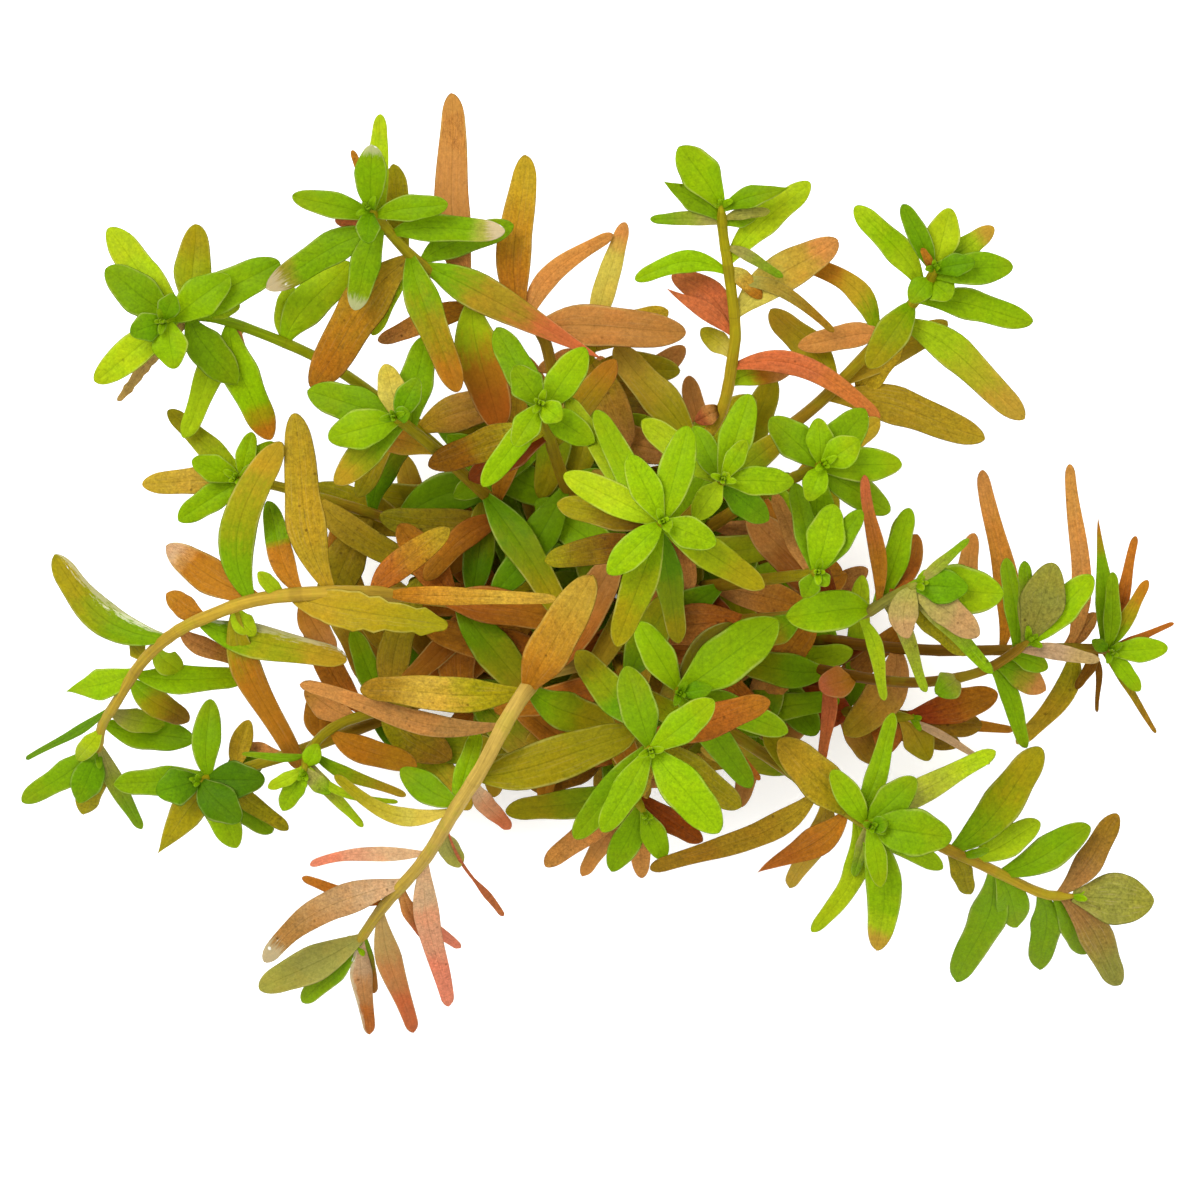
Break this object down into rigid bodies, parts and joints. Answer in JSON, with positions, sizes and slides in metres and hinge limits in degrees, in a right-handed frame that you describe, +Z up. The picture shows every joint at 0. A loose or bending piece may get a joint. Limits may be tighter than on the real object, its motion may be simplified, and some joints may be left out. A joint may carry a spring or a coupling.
{
  "type": "bunch of ceylon rotala",
  "caption": "Loose bunch of cut ceylon rotala shoots, an aquarium stem plant, standing on its cut ends and splaying out; narrow green, ochre, orange and pink leaves in rosettes.",
  "frame": {"origin": "on the surface the bunch stands on, under the middle of the bunch's outline seen from above", "axes": "+Z up, the way the shoots grow; +X to the right and +Y to the top of the bunch as seen straight from above"},
  "size_m": [0.1138, 0.0924, 0.06],
  "materials": {
    "green_tissue": "soft sheen",
    "dark_green_tissue": "soft sheen",
    "olive_tissue": "soft sheen",
    "ochre_tissue": "soft sheen",
    "pink_brown_tissue": "soft sheen",
    "red_brown_tissue": "soft sheen"
  },
  "bodies": {
    "root": {"shoot_north_west": "green_tissue", "shoot_west_upper": "green_tissue", "shoot_west_small": "green_tissue", "shoot_north_west_inner": "green_tissue", "shoot_north_inner": "green_tissue", "shoot_centre": "green_tissue", "shoot_centre_east": "green_tissue", "shoot_north_east_inner": "green_tissue", "shoot_east_inner": "green_tissue", "shoot_east": "green_tissue", "shoot_east_low": "green_tissue", "shoot_east_far": "green_tissue", "shoot_south_east": "green_tissue", "shoot_south_east_inner": "green_tissue", "shoot_north_east": "green_tissue", "shoot_north": "green_tissue", "shoot_north_bare": "ochre_tissue", "shoot_west_arching": "olive_tissue", "shoot_south_west": "dark_green_tissue", "shoot_south_west_inner": "green_tissue", "shoot_south_south_west": "pink_brown_tissue", "shoot_south": "green_tissue", "shoot_centre_south": "green_tissue", "shoot_south_low": "ochre_tissue", "shoot_east_south": "red_brown_tissue"}
  },
  "joints": []
}
